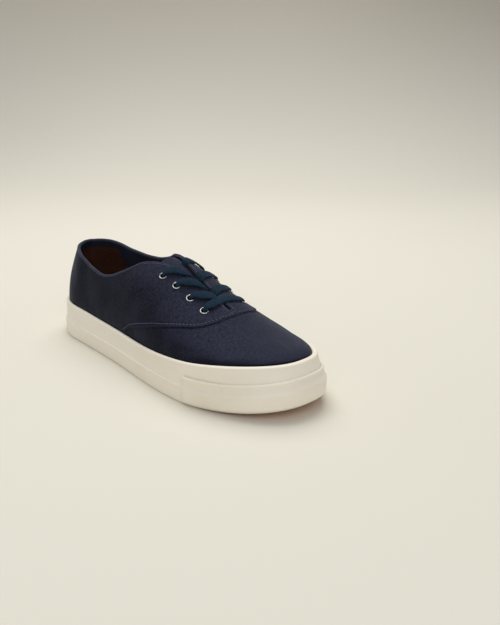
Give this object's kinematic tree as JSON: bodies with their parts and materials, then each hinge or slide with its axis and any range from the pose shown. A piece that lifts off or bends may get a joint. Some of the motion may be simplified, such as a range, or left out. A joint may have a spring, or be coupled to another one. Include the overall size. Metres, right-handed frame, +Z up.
{
  "type": "canvas sneaker",
  "caption": "Low lace-up canvas sneaker with a hollow canvas upper, rubber side wall, toe bumper, tongue, metal eyelets and flat laces.",
  "frame": {"origin": "middle of the footprint's box, on the floor", "axes": "+X towards the toe, +Y towards the medial side, +Z up"},
  "size_m": [0.3008, 0.1098, 0.0908],
  "materials": {
    "canvas": "matte woven navy canvas",
    "white_rubber": "satin off-white rubber",
    "gum_rubber": "satin gum rubber",
    "insole_cloth": "matte dark brown cloth over foam",
    "lace_cloth": "matte flat woven lace",
    "eyelet_metal": "bright satin metal"
  },
  "bodies": {
    "root": {"upper": "canvas", "foxing": "white_rubber", "toe_bumper": "white_rubber", "outsole": "gum_rubber", "insole": "insole_cloth", "tongue": "canvas", "lace_bar": "lace_cloth", "lace_cross_1": "lace_cloth", "lace_cross_2": "lace_cloth", "lace_cross_3": "lace_cloth", "eyelet_lateral_1": "eyelet_metal", "eyelet_lateral_2": "eyelet_metal", "eyelet_lateral_3": "eyelet_metal", "eyelet_lateral_4": "eyelet_metal", "eyelet_medial_1": "eyelet_metal", "eyelet_medial_2": "eyelet_metal", "eyelet_medial_3": "eyelet_metal", "eyelet_medial_4": "eyelet_metal"}
  },
  "joints": []
}
